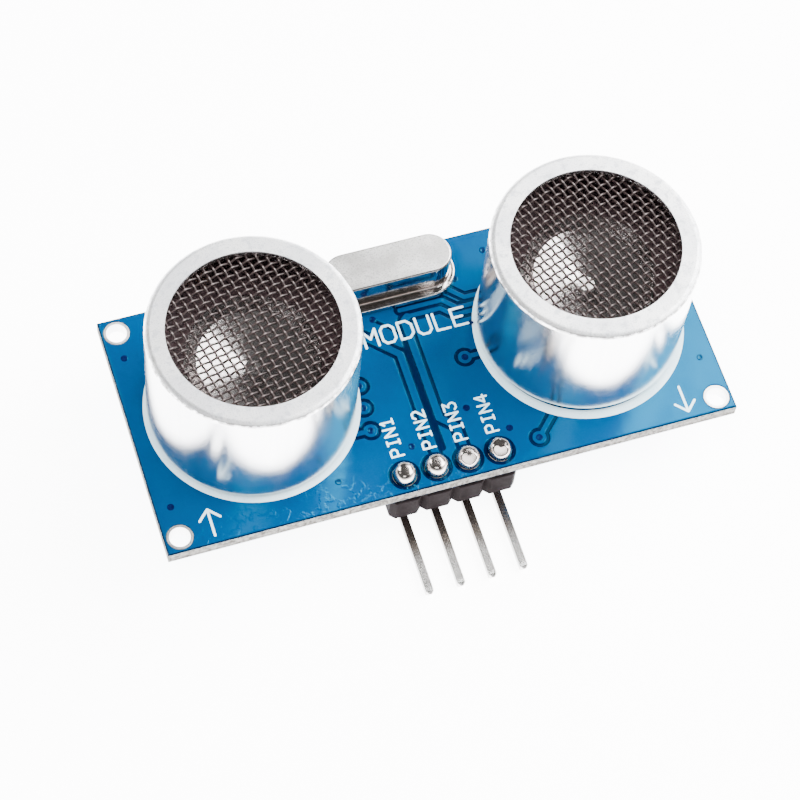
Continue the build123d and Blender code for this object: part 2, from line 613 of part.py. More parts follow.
# ---- transducers ----
for name, (cx, cy) in transducer_places.items():
    upright = section_plane(cx, cy)
    axis = Axis((cx, cy, 0), (0, 0, 1))

    with BuildPart() as can:
        with BuildSketch(upright):
            with BuildLine():
                Polyline(
                    (CAN_OPENING_R, CAN_TOP),
                    (CAN_R, CAN_TOP),
                    (CAN_R, CAN_BOTTOM),
                    (CAN_R - CAN_WALL, CAN_BOTTOM),
                    (CAN_R - CAN_WALL, CAN_TOP - CAN_LIP_T),
                    (CAN_OPENING_R, CAN_TOP - CAN_LIP_T),
                    close=True,
                )
            make_face()
        revolve(axis=axis)
        for level, radius in ((-1, CAN_TOP_ROUND), (0, CAN_FOOT_ROUND)):
            rims = can.edges().filter_by(GeomType.CIRCLE).group_by(Axis.Z)[level]
            fillet(rims.sort_by(SortBy.RADIUS)[-1], radius=radius)
    write(can, f"{name}_can")

    with BuildPart() as screen:
        with BuildSketch(Plane.XY.offset(CAN_TOP - CAN_LIP_T - SCREEN_T)):
            with Locations((cx, cy)):
                Circle(SCREEN_R)
            columns, rows = [int(SCREEN_R / pitch) for pitch in SCREEN_PITCH]
            meshes = [
                (u * SCREEN_PITCH[0], v * SCREEN_PITCH[1])
                for u in range(-columns, columns + 1)
                for v in range(-rows, rows + 1)
                if math.hypot(u * SCREEN_PITCH[0], v * SCREEN_PITCH[1]) < SCREEN_R - SCREEN_BORDER
            ]
            with Locations(Location((cx, cy, 0), (0, 0, SCREEN_TURN[name]))):
                with Locations(*meshes):
                    Rectangle(*[pitch - SCREEN_WIRE for pitch in SCREEN_PITCH], mode=Mode.SUBTRACT)
        extrude(amount=SCREEN_T)
    write(screen, f"{name}_screen")

    with BuildPart() as base_plate:
        with BuildSketch(Plane.XY.offset(BOARD_T)):
            with Locations((cx, cy)):
                Circle(BASE_FOOT_R)
        extrude(amount=BASE_FOOT_TOP - BOARD_T)
        with BuildSketch(Plane.XY.offset(BASE_FOOT_TOP)):
            with Locations((cx, cy)):
                Circle(CAN_R - CAN_WALL)
        extrude(amount=BASE_TOP - BASE_FOOT_TOP)
        with BuildSketch(Plane.XY.offset(BASE_TOP)):
            with Locations((cx, cy)):
                Circle(PEDESTAL_R[1])
                Circle(PEDESTAL_R[0], mode=Mode.SUBTRACT)
                Rectangle(PEDESTAL_SLOT, 2 * PEDESTAL_R[1], mode=Mode.SUBTRACT)
        extrude(amount=PEDESTAL_TOP - BASE_TOP)
        with BuildSketch(Plane.XY.offset(BOARD_T)):
            with Locations((cx, cy + TERMINAL_REACH), (cx, cy - TERMINAL_REACH)):
                Circle(TERMINAL_R)
        extrude(amount=BASE_TOP - BOARD_T, mode=Mode.SUBTRACT)
    write(base_plate, f"{name}_base_plate")

    with BuildPart() as terminals:
        with BuildSketch(Plane.XY.offset(TERMINAL_TIP)):
            with Locations((cx, cy + TERMINAL_REACH), (cx, cy - TERMINAL_REACH)):
                Circle(TERMINAL_R)
        extrude(amount=TERMINAL_TOP - TERMINAL_TIP)
        chamfer(terminals.edges().filter_by(GeomType.CIRCLE).group_by(Axis.Z)[0], TERMINAL_POINT)
    write(terminals, f"{name}_terminals")

    with BuildPart() as adhesive_ring:
        with BuildSketch(Plane.XY.offset(PEDESTAL_TOP)):
            with Locations((cx, cy)):
                Circle(ADHESIVE_R[1])
                Circle(ADHESIVE_R[0], mode=Mode.SUBTRACT)
        extrude(amount=ADHESIVE_T)
    write(adhesive_ring, f"{name}_adhesive_ring")

    disc_bottom = PEDESTAL_TOP + ADHESIVE_T
    with BuildPart() as diaphragm:
        with BuildSketch(Plane.XY.offset(disc_bottom)):
            with Locations((cx, cy)):
                Circle(DISC_R)
        extrude(amount=DISC_T)
    write(diaphragm, f"{name}_diaphragm")

    with BuildPart() as piezo_disc:
        with BuildSketch(Plane.XY.offset(disc_bottom)):
            with Locations((cx, cy)):
                Circle(PIEZO_R)
        extrude(amount=-DISC_T)
    write(piezo_disc, f"{name}_piezo_disc")

    cone_foot = disc_bottom + DISC_T
    with BuildPart() as resonator_cone:
        with BuildSketch(upright):
            with BuildLine():
                Polyline(
                    (0, cone_foot),
                    (CONE_FOOT_R, cone_foot),
                    (CONE_DISH_R, cone_foot + CONE_DISH_RISE - CONE_T),
                    (CONE_RIM_R, cone_foot + CONE_RIM_RISE - CONE_T),
                    (CONE_RIM_R, cone_foot + CONE_RIM_RISE),
                    (CONE_DISH_R - CONE_T, cone_foot + CONE_DISH_RISE),
                    (CONE_FOOT_R - CONE_T, cone_foot + CONE_T),
                    (0, cone_foot + CONE_T),
                    close=True,
                )
            make_face()
        revolve(axis=axis)
    write(resonator_cone, f"{name}_resonator_cone")

    with BuildPart() as lead_wires:
        for side in (-1, 1):
            with BuildLine(across_plane(cx, cy, side)) as route:
                FilletPolyline(
                    (TERMINAL_REACH, TERMINAL_TOP),
                    (TERMINAL_REACH, WIRE_Z),
                    (WIRE_LANDING_R, WIRE_Z),
                    (WIRE_LANDING_R, disc_bottom - DISC_T),
                    radius=WIRE_BEND_R,
                )
            start = Plane(origin=(cx, cy + side * TERMINAL_REACH, TERMINAL_TOP), z_dir=(0, 0, 1))
            with BuildSketch(start):
                Circle(WIRE_R)
            sweep(path=route.line)
    write(lead_wires, f"{name}_lead_wires")

with BuildPart() as transducer_solder:
    for x, y in terminal_places:
        with BuildSketch(section_plane(x, y)):
            with BuildLine():
                foot = (TERMINAL_PAD_R, MASK_T)
                tip = (TERMINAL_R, TERMINAL_TIP + 0.3)
                inner_top = (TERMINAL_R, COPPER_FRONT)
                outer_top = (TERMINAL_HOLE_R, COPPER_FRONT)
                Polyline(tip, inner_top, outer_top, (TERMINAL_HOLE_R, MASK_T), foot)
                Bezier(foot, (0.75, -0.5), (0.5, -0.9), tip)
            make_face()
        revolve(axis=Axis((x, y, 0), (0, 0, 1)))
write(transducer_solder, "transducer_solder")

# ---- quartz crystal in its welded metal can ----
with BuildPart() as crystal_base:
    with BuildSketch(Plane.XY.offset(BOARD_T)):
        with Locations((CRYSTAL_X, CRYSTAL_Y)):
            SlotOverall(*CRYSTAL_FLANGE)
    extrude(amount=CRYSTAL_BASE_T)
    with BuildSketch(Plane.XY.offset(BOARD_T + CRYSTAL_BASE_T)):
        with Locations((CRYSTAL_X, CRYSTAL_Y)):
            SlotOverall(CRYSTAL_CAN[0] - 2 * CRYSTAL_WALL, CRYSTAL_CAN[1] - 2 * CRYSTAL_WALL)
    extrude(amount=CRYSTAL_FLANGE_T)
    with BuildSketch(Plane.XY.offset(BOARD_T)):
        draw_discs(crystal_lead_places, CRYSTAL_SEAL_R)
    extrude(amount=CRYSTAL_BASE_T + CRYSTAL_FLANGE_T, mode=Mode.SUBTRACT)
    fillet(crystal_base.edges().group_by(Axis.Z)[0].filter_by(GeomType.LINE), CRYSTAL_BASE_ROUND)
write(crystal_base, "crystal_base")

with BuildPart() as crystal_can:
    can_foot = BOARD_T + CRYSTAL_BASE_T
    with BuildSketch(Plane.XY.offset(can_foot)):
        with Locations((CRYSTAL_X, CRYSTAL_Y)):
            SlotOverall(*CRYSTAL_FLANGE)
    extrude(amount=CRYSTAL_FLANGE_T)
    with BuildSketch(Plane.XY.offset(can_foot + CRYSTAL_FLANGE_T)):
        with Locations((CRYSTAL_X, CRYSTAL_Y)):
            SlotOverall(*CRYSTAL_CAN)
    extrude(amount=CRYSTAL_TOP - can_foot - CRYSTAL_FLANGE_T)
    fillet(crystal_can.edges().group_by(Axis.Z)[2], CRYSTAL_FLARE_R)
    fillet(crystal_can.edges().group_by(Axis.Z)[-1], CRYSTAL_ROUND)
    with BuildSketch(Plane.XY.offset(can_foot)):
        with Locations((CRYSTAL_X, CRYSTAL_Y)):
            SlotOverall(CRYSTAL_CAN[0] - 2 * CRYSTAL_WALL, CRYSTAL_CAN[1] - 2 * CRYSTAL_WALL)
    extrude(amount=CRYSTAL_TOP - can_foot - CRYSTAL_WALL, mode=Mode.SUBTRACT)
write(crystal_can, "crystal_can")

with BuildPart() as crystal_seals:
    with BuildSketch(Plane.XY.offset(BOARD_T)):
        draw_discs(crystal_lead_places, CRYSTAL_SEAL_R)
        draw_discs(crystal_lead_places, CRYSTAL_LEAD_R, Mode.SUBTRACT)
    extrude(amount=CRYSTAL_BASE_T + CRYSTAL_FLANGE_T)
write(crystal_seals, "crystal_seals")

with BuildPart() as crystal_leads:
    with BuildSketch(Plane.XY.offset(CRYSTAL_LEAD_TIP)):
        draw_discs(crystal_lead_places, CRYSTAL_LEAD_R)
    extrude(amount=BLANK_Z - CLIP_T - CRYSTAL_LEAD_TIP)
write(crystal_leads, "crystal_leads")

with BuildPart() as crystal_clips:
    with BuildSketch(Plane.XY.offset(BLANK_Z)):
        with Locations(*crystal_lead_places):
            Rectangle(*CLIP_SIZE)
    extrude(amount=-CLIP_T)
write(crystal_clips, "crystal_clips")

with BuildPart() as crystal_blank:
    with BuildSketch(Plane.XY.offset(BLANK_Z)):
        with Locations((CRYSTAL_X, CRYSTAL_Y)):
            Rectangle(*BLANK_SIZE)
    extrude(amount=BLANK_T)
write(crystal_blank, "crystal_blank")

with BuildPart() as crystal_solder:
    for x, y in crystal_lead_places:
        with BuildSketch(section_plane(x, y)):
            with BuildLine():
                foot = (CRYSTAL_PAD_R, MASK_T)
                tip = (CRYSTAL_LEAD_R, CRYSTAL_LEAD_TIP + 0.25)
                inner_top = (CRYSTAL_LEAD_R, COPPER_FRONT)
                outer_top = (CRYSTAL_HOLE_R, COPPER_FRONT)
                Polyline(tip, inner_top, outer_top, (CRYSTAL_HOLE_R, MASK_T), foot)
                Bezier(foot, (0.5, -0.25), (0.3, -0.4), tip)
            make_face()
        revolve(axis=Axis((x, y, 0), (0, 0, 1)))
write(crystal_solder, "crystal_solder")

# ---- chips on the back ----
CHIP_SIDE = CHIP_WIDTH / 2
CHIP_MIDDLE = -(CHIP_STANDOFF + CHIP_T / 2)
for name, (count, (cx, cy)) in chips.items():
    length = count // 2 * LEAD_PITCH - CHIP_END_GAP
    with BuildPart() as chip_body:
        with BuildSketch(Plane.XY.offset(-CHIP_STANDOFF - CHIP_T)):
            with Locations((cx, cy)):
                Rectangle(length, CHIP_WIDTH)
        extrude(amount=CHIP_T)
        chamfer(chip_body.faces().sort_by(Axis.Z)[0].edges().filter_by(Axis.X), CHIP_CHAMFER)
        with BuildSketch(Plane.XY.offset(-CHIP_STANDOFF - CHIP_T)):
            with Locations((cx - length / 2 + CHIP_MARK[0], cy - CHIP_SIDE + CHIP_MARK[1])):
                Circle(CHIP_MARK_R)
        extrude(amount=CHIP_MARK_DEPTH, mode=Mode.SUBTRACT)
    write(chip_body, f"{name}_body")

    with BuildPart() as chip_leads:
        for offset_x in lead_row(count):
            for side in (-1, 1):
                with BuildSketch(across_plane(cx + offset_x, cy, side)):
                    with BuildLine():
                        Polyline(
                            (LEAD_SPAN / 2, 0),
                            (LEAD_SPAN / 2 - 0.55, 0),
                            (LEAD_SPAN / 2 - 0.75, CHIP_MIDDLE + LEAD_T / 2),
                            (CHIP_SIDE, CHIP_MIDDLE + LEAD_T / 2),
                            (CHIP_SIDE, CHIP_MIDDLE - LEAD_T / 2),
                            (LEAD_SPAN / 2 - 0.58, CHIP_MIDDLE - LEAD_T / 2),
                            (LEAD_SPAN / 2 - 0.38, -LEAD_T),
                            (LEAD_SPAN / 2, -LEAD_T),
                            close=True,
                        )
                    make_face()
                extrude(amount=LEAD_WIDTH / 2, both=True)
    write(chip_leads, f"{name}_leads")

# ---- chip resistors and capacitors on the back ----
for name, places, height in (
    ("resistor", resistor_places, RESISTOR_T),
    ("capacitor", capacitor_places, CAPACITOR_T),
):
    spots = [Location((x, y, 0), (0, 0, turn)) for x, y, turn in places]
    with BuildPart() as passive_bodies:
        with BuildSketch(Plane.XY):
            with Locations(*spots):
                Rectangle(PASSIVE_LENGTH - 2 * CAP_LENGTH, PASSIVE_WIDTH)
        extrude(amount=-height)
    write(passive_bodies, f"{name}_bodies")
    with BuildPart() as end_caps:
        with BuildSketch(Plane.XY):
            with Locations(*spots):
                with GridLocations(PASSIVE_LENGTH - CAP_LENGTH, 1, 2, 1):
                    Rectangle(CAP_LENGTH, PASSIVE_WIDTH)
        extrude(amount=-height)
    write(end_caps, f"{name}_end_caps")

# ---- three-lead transistor on the back ----
with BuildPart() as transistor_body:
    with BuildSketch(Plane.XY.offset(-CHIP_STANDOFF - TRANSISTOR_T)):
        with Locations(transistor_place):
            Rectangle(TRANSISTOR_LENGTH, 2 * TRANSISTOR_HALF_WIDTH)
    extrude(amount=TRANSISTOR_T)
    chamfer(transistor_body.faces().sort_by(Axis.Z)[0].edges().filter_by(Axis.X), TRANSISTOR_CHAMFER)
write(transistor_body, "transistor_body")

with BuildPart() as transistor_leads:
    for x, y, turn in transistor_lands:
        side = 1 if turn > 0 else -1
        with BuildSketch(across_plane(x, y, side)):
            with BuildLine():
                Polyline(
                    (TRANSISTOR_REACH, 0),
                    (0.95, 0),
                    (0.85, -0.45),
                    (TRANSISTOR_HALF_WIDTH, -0.45),
                    (TRANSISTOR_HALF_WIDTH, -0.6),
                    (0.98, -0.6),
                    (1.06, -0.15),
                    (TRANSISTOR_REACH, -0.15),
                    close=True,
                )
            make_face()
        extrude(amount=LEAD_WIDTH / 2, both=True)
write(transistor_leads, "transistor_leads")

# ---- solder on the surface-mount lands: a film under each foot and a fillet at its toe ----
fillets = [
    (lead_lands, LEAD_LAND, LEAD_SPAN / 2, 0.16),
    (passive_lands, PASSIVE_LAND, PASSIVE_LENGTH / 2, 0.3),
    (transistor_lands, TRANSISTOR_LAND, TRANSISTOR_REACH, 0.12),
]
with BuildPart() as surface_solder:
    for places, (inner, outer, width), toe, rise in fillets:
        for x, y, turn in places:
            angle = math.radians(turn)
            across = (math.sin(angle), -math.cos(angle), 0)
            outward = (math.cos(angle), math.sin(angle), 0)
            with BuildSketch(Plane(origin=(x, y, 0), x_dir=outward, z_dir=across)):
                with BuildLine():
                    Polyline(
                        (inner, MASK_T),
                        (outer, MASK_T),
                        (outer, 0),
                        (toe, -rise),
                        (toe, 0),
                        (inner, 0),
                        close=True,
                    )
                make_face()
            extrude(amount=width / 2, both=True)
write(surface_solder, "surface_solder")
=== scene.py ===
import json
import math

import bmesh
import bpy
from mathutils import Matrix, Vector


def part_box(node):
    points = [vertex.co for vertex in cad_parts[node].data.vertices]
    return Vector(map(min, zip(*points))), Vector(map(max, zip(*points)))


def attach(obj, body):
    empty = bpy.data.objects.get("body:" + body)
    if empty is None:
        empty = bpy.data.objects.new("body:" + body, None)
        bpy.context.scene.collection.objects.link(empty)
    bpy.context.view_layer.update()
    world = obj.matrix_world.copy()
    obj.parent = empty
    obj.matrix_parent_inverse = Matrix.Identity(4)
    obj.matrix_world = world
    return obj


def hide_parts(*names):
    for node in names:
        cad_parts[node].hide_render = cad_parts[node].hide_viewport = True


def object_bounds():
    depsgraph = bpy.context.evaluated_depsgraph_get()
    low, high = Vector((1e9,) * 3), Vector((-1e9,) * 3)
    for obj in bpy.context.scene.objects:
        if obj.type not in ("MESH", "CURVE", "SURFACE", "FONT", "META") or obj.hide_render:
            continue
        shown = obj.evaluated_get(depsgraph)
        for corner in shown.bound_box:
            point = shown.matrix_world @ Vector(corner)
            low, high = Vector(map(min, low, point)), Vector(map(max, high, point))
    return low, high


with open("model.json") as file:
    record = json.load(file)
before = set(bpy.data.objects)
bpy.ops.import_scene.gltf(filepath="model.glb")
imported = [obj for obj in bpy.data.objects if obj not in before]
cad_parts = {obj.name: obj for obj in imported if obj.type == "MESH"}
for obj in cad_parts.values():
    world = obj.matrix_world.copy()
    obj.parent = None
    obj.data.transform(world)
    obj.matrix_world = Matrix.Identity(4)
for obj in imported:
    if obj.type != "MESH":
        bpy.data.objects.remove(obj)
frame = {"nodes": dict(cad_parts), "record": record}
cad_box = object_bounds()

MM = 0.001
WELD_DISTANCE = 0.0005
PIN_SIZE = 0.64
nodes = frame["nodes"]


# ---- places read from the frame ----
def box_mm(node):
    """Return a CAD node's lowest and highest corners in millimetres."""
    low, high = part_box(node)
    return Vector(low) / MM, Vector(high) / MM


BOARD_FRONT = box_mm("front_solder_mask")[1].z
BOARD_BACK = box_mm("back_solder_mask")[0].z
PIN_TIP = box_mm("header_pin_1")[0].y
LAMINATE = (box_mm("board_core")[0].z, box_mm("board_core")[1].z)
CAN_TOP = box_mm("transmitter_can")[1].z
SCREEN_TOP = box_mm("transmitter_screen")[1].z
CRYSTAL_TOP = box_mm("crystal_can")[1].z
can_centres = {}
for side in ("transmitter", "receiver"):
    low, high = box_mm(f"{side}_can")
    can_centres[side] = (low + high) / 2
pin_centres = []
for number in range(1, 5):
    low, high = box_mm(f"header_pin_{number}")
    pin_centres.append(Vector(((low.x + high.x) / 2, high.y - PIN_SIZE / 2, high.z)))


# ---- procedural materials ----
class Look:
    """One procedural material: a Principled shader and the nodes that feed it."""

    def __init__(self, name, **sockets):
        self.material = bpy.data.materials.new(name)
        self.material.use_nodes = True
        self.tree = self.material.node_tree
        self.shader = self.tree.nodes["Principled BSDF"]
        self.set(**sockets)
        self.place = self.add("ShaderNodeTexCoord").outputs["Object"]

    def put(self, node, key, value):
        """Link a socket to an input, or set the input's own value."""
        if isinstance(value, bpy.types.NodeSocket):
            self.tree.links.new(value, node.inputs[key])
        else:
            node.inputs[key].default_value = value

    def add(self, kind, settings=None, **inputs):
        """Add a node; inputs are named by socket, with underscores for spaces, or as in0, in1."""
        node = self.tree.nodes.new(kind)
        for key, value in (settings or {}).items():
            setattr(node, key, value)
        for key, value in inputs.items():
            socket = int(key[2:]) if key[:2] == "in" and key[2:].isdigit() else key.replace("_", " ")
            self.put(node, socket, value)
        return node

    def set(self, **sockets):
        """Feed the Principled shader's sockets."""
        for key, value in sockets.items():
            if key in ("Base_Color", "Specular_Tint", "Emission_Color") and isinstance(value, tuple):
                value = (*value, 1.0)
            self.put(self.shader, key.replace("_", " "), value)

    def noise(self, size_mm, detail=3.0, roughness=0.55, stretch=(1, 1, 1)):
        """Return noise with features of about the given size, finer along an axis with a higher stretch."""
        scale = 1 / (size_mm * MM)
        spread = tuple(scale * s for s in stretch)
        where = self.add("ShaderNodeMapping", Vector=self.place, Scale=spread).outputs["Vector"]
        noise = self.add("ShaderNodeTexNoise", Vector=where, Scale=1.0, Detail=detail, Roughness=roughness)
        return noise.outputs["Fac"]

    def remap(self, value, low, high, to_low, to_high, smooth=False):
        """Map a value from one range to another, clamped."""
        kind = {"interpolation_type": "SMOOTHSTEP" if smooth else "LINEAR"}
        node = self.add("ShaderNodeMapRange", kind, in0=value, in1=low, in2=high, in3=to_low, in4=to_high)
        return node.outputs["Result"]

    def mix(self, factor, first, second):
        """Mix two colours."""
        node = self.add("ShaderNodeMix", {"data_type": "RGBA"})
        for key, value in (("Factor", factor), (6, first), (7, second)):
            self.put(node, key, (*value, 1.0) if isinstance(value, tuple) else value)
        return node.outputs[2]

    def blend(self, factor, first, second):
        """Mix two values."""
        node = self.add("ShaderNodeMix", {"data_type": "FLOAT"}, Factor=factor, in2=first, in3=second)
        return node.outputs[0]

    def math(self, operation, first, second=0.0):
        """Combine two values."""
        return self.add("ShaderNodeMath", {"operation": operation}, in0=first, in1=second).outputs["Value"]

    def both(self, first, second):
        """Multiply two masks, so that the result is high only where both are."""
        return self.math("MULTIPLY", first, second)

    def axis(self, name):
        """Return one object coordinate, in metres."""
        return self.add("ShaderNodeSeparateXYZ", Vector=self.place).outputs[name]

    def facing(self, name):
        """Return one component of the surface's own outward normal."""
        normal = self.add("ShaderNodeNewGeometry").outputs["True Normal"]
        return self.add("ShaderNodeSeparateXYZ", Vector=normal).outputs[name]

    def bump(self, height, depth_mm, under=None):
        """Raise the surface by a height from 0 to 1, that deep, on top of another normal if one is given."""
        node = self.add("ShaderNodeBump", Height=height, Distance=depth_mm * MM, Strength=1.0)
        if under:
            self.put(node, "Normal", under)
        return node.outputs["Normal"]


MASK_FILM = {"IOR": 1.52, "Specular_IOR_Level": 0.42, "Specular_Tint": (0.0, 0.66, 1.0)}
MASK_EDGE_ROUND = 0.13


def mask_look(name, edge_low_mm, edge_high_mm):
    """Glossy blue mask: paler where it runs over copper, dark over the bare laminate."""
    look = Look(name, **MASK_FILM)
    raised = look.remap(look.axis("Z"), edge_low_mm * MM, edge_high_mm * MM, 0.0, 1.0, smooth=True)
    drift = look.remap(look.noise(9.0, 2.0), 0.35, 0.65, 0.0, 1.0)
    over_copper = look.mix(drift, (0.0, 0.032, 0.110), (0.0, 0.043, 0.138))
    grain = look.noise(0.12, 2.0)
    over_copper = look.mix(look.remap(grain, 0.3, 0.8, 0.0, 0.35), over_copper, (0.0, 0.055, 0.16))
    bare = look.mix(drift, (0.0, 0.002, 0.022), (0.0, 0.004, 0.032))
    look.set(Base_Color=look.mix(raised, bare, over_copper))
    look.set(Roughness=look.remap(look.noise(2.5, 4.0), 0.3, 0.7, 0.10, 0.18))
    # The film rounds off the steps where copper ends, so those that turn to the light show a bright line.
    rounded = look.add("ShaderNodeBevel", {"samples": 6}, Radius=MASK_EDGE_ROUND * MM).outputs["Normal"]
    # The film sags a little and follows the glass cloth's weave; flux leaves blotches by the header.
    cloth = look.both(look.noise(0.55, 1.0, stretch=(1, 0.2, 1)), look.noise(0.55, 1.0, stretch=(0.2, 1, 1)))
    sag = look.bump(look.noise(3.0, 2.0), 0.015, under=rounded)
    weave = look.bump(cloth, 0.008, under=sag)
    low_down = look.remap(look.axis("Y"), -9.9 * MM, -7.2 * MM, 1.0, 0.0, smooth=True)
    not_right = look.remap(look.axis("X"), 3.0 * MM, 7.0 * MM, 1.0, 0.0, smooth=True)
    stains = look.remap(look.noise(0.9, 3.0), 0.5, 0.6, 0.0, 1.0, smooth=True)
    blotches = look.both(stains, look.both(low_down, not_right))
    look.set(Normal=look.bump(blotches, 0.022, under=weave))
    return look.material


def laminate_look():
    """Cut glass-epoxy edge: pale, layered, with fibres and saw marks."""
    look = Look("glass_epoxy", Specular_IOR_Level=0.0)
    layers = look.noise(0.16, 3.0, stretch=(0.12, 0.12, 1))
    fibres = look.noise(0.3, 5.0, 0.75, stretch=(1, 1, 0.6))
    pale = look.mix(look.remap(layers, 0.35, 0.65, 0, 1), (0.17, 0.165, 0.155), (0.30, 0.295, 0.28))
    sawn = look.mix(look.remap(fibres, 0.46, 0.6, 0, 0.9), pale, (0.06, 0.055, 0.05))
    lower = look.remap(look.axis("Z"), LAMINATE[0] * MM, (LAMINATE[0] + 0.55) * MM, 0.75, 0.0, smooth=True)
    crumbs = look.both(lower, look.remap(look.noise(0.3, 5.0, 0.75), 0.42, 0.6, 0, 1))
    look.set(Base_Color=look.mix(crumbs, sawn, (0.075, 0.065, 0.058)))
    look.set(Roughness=look.remap(fibres, 0.3, 0.7, 0.55, 0.85))
    look.set(Normal=look.bump(fibres, 0.04, under=look.bump(layers, 0.03)))
    return look.material


def ink_look():
    """White screen-printed ink, thin enough that its grain shows."""
    look = Look("white_ink", Specular_IOR_Level=0.4)
    grain = look.noise(0.1, 4.0)
    patches = look.noise(2.2, 2.0)
    white = look.mix(look.remap(patches, 0.35, 0.7, 0, 1), (0.74, 0.93, 1.0), (0.62, 0.86, 0.97))
    look.set(Base_Color=look.mix(look.remap(grain, 0.56, 0.72, 0, 0.5), white, (0.20, 0.48, 0.74)))
    look.set(Roughness=look.remap(grain, 0.3, 0.7, 0.42, 0.62))
    look.set(Normal=look.bump(grain, 0.01))
    return look.material


def metal_look(name, colour, dark, roughness, grain_mm, stretch=(1, 1, 1), depth_mm=0.004, spots=0.0):
    """Bare metal with a directional grain, cloudy tone and small dull spots."""
    look = Look(name, Metallic=1.0)
    grain = look.noise(grain_mm, 5.0, stretch=stretch)
    clouds = look.noise(grain_mm * 9, 3.0, stretch=stretch)
    tone = look.both(look.remap(grain, 0.25, 0.75, 0.6, 1.0), look.remap(clouds, 0.3, 0.7, 0.6, 1.0))
    base = look.mix(tone, dark, colour)
    if spots:
        marks = look.remap(look.noise(grain_mm * 3, 6.0, 0.7), 0.60, 0.70, 0.0, spots, smooth=True)
        base = look.mix(marks, base, dark)
    look.set(Base_Color=base)
    look.set(Roughness=look.remap(clouds, 0.3, 0.7, roughness[0], roughness[1]))
    look.set(Normal=look.bump(grain, depth_mm))
    return look.material


def can_look():
    """Drawn aluminium: upright draw lines on the wall, a blasted, mottled rim, and a painted dark
    reflection, speckled, along the rim's rounded outer edge.
    """
    look = Look("can_aluminium", Metallic=1.0)
    height = look.axis("Z")
    on_rim = look.remap(height, (CAN_TOP - 0.3) * MM, (CAN_TOP - 0.02) * MM, 0.0, 1.0, smooth=True)
    draw = look.noise(0.35, 3.0, stretch=(1, 1, 0.03))
    blast = look.noise(0.1, 4.0)
    mottle = look.noise(0.7, 6.0, 0.7)
    wall = look.mix(look.remap(draw, 0.35, 0.7, 0, 1), (0.90, 0.90, 0.91), (0.82, 0.82, 0.84))
    streaks = look.noise(3.5, 3.0)
    rim = look.mix(look.remap(streaks, 0.42, 0.6, 0.0, 0.8), (0.98, 0.98, 0.98), (0.82, 0.83, 0.86))
    rim = look.mix(look.remap(mottle, 0.52, 0.62, 0, 0.7), rim, (0.62, 0.64, 0.68))
    rim = look.mix(look.remap(blast, 0.52, 0.64, 0, 0.7), rim, (0.54, 0.55, 0.57))
    bare = look.mix(on_rim, wall, rim)
    # Painted reflection: a speckled dark band along the rim's rounded outer edge.
    above = look.remap(height, (CAN_TOP - 0.42) * MM, (CAN_TOP - 0.30) * MM, 0.0, 1.0, smooth=True)
    below = look.remap(height, (CAN_TOP - 0.20) * MM, (CAN_TOP - 0.08) * MM, 1.0, 0.0, smooth=True)
    reflection_speckle = look.remap(look.noise(0.5, 5.0, 0.7), 0.4, 0.55, 0, 0.95)
    rim_edge_dark_reflection = look.both(look.both(above, below), reflection_speckle)
    look.set(Base_Color=look.mix(rim_edge_dark_reflection, bare, (0.17, 0.165, 0.165)))
    wall_roughness = look.remap(look.noise(1.6, 3.0, stretch=(1, 1, 0.15)), 0.35, 0.65, 0.12, 0.17)
    rim_roughness = look.remap(mottle, 0.35, 0.65, 0.5, 0.66)
    look.set(Roughness=look.blend(on_rim, wall_roughness, rim_roughness))
    look.set(Normal=look.bump(blast, 0.007, under=look.bump(draw, 0.004)))
    return look.material


def wire_look():
    """Dark coated wire, with painted paler highlights on its high spots."""
    look = Look("screen_wire", Specular_IOR_Level=0.27)
    patina = look.noise(0.6, 4.0)
    base = look.mix(look.remap(patina, 0.35, 0.7, 0, 1), (0.020, 0.0135, 0.013), (0.034, 0.023, 0.022))
    # Painted highlight: the very top of each crossing is paler.
    painted_knuckle_highlight = look.remap(look.axis("Z"), (SCREEN_TOP - 0.035) * MM, SCREEN_TOP * MM, 0.0, 1.0, smooth=True)
    look.set(Base_Color=look.mix(painted_knuckle_highlight, base, (0.24, 0.20, 0.195)))
    look.set(Roughness=look.remap(patina, 0.3, 0.7, 0.38, 0.52))
    look.set(Normal=look.bump(look.noise(0.05, 3.0), 0.004))
    return look.material


